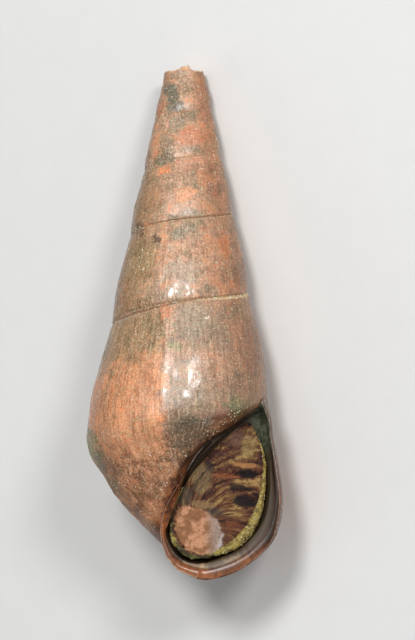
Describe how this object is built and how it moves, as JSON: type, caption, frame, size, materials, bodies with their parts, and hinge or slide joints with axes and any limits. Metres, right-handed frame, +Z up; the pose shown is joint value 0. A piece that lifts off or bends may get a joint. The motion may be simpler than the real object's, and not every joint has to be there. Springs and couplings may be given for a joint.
{
  "type": "trumpet snail shell",
  "caption": "Slender spiral freshwater snail shell with a broken tip, lying on its back with its horny lid closing the mouth.",
  "frame": {"origin": "on the surface that the shell lies on, under the middle of its bounding box", "axes": "+Z up, +Y towards the broken tip along the length, +X to the side that the mouth's outer lip is on"},
  "size_m": [0.008, 0.0186, 0.0068],
  "materials": {
    "shell": "satin, orange-brown with olive and pinkish patches",
    "operculum": "matte brown horn with curved growth lines",
    "silt_seam": "dry, grainy yellow-green"
  },
  "bodies": {
    "root": {"shell": "shell", "operculum": "operculum", "silt_seam": "silt_seam"}
  },
  "joints": []
}
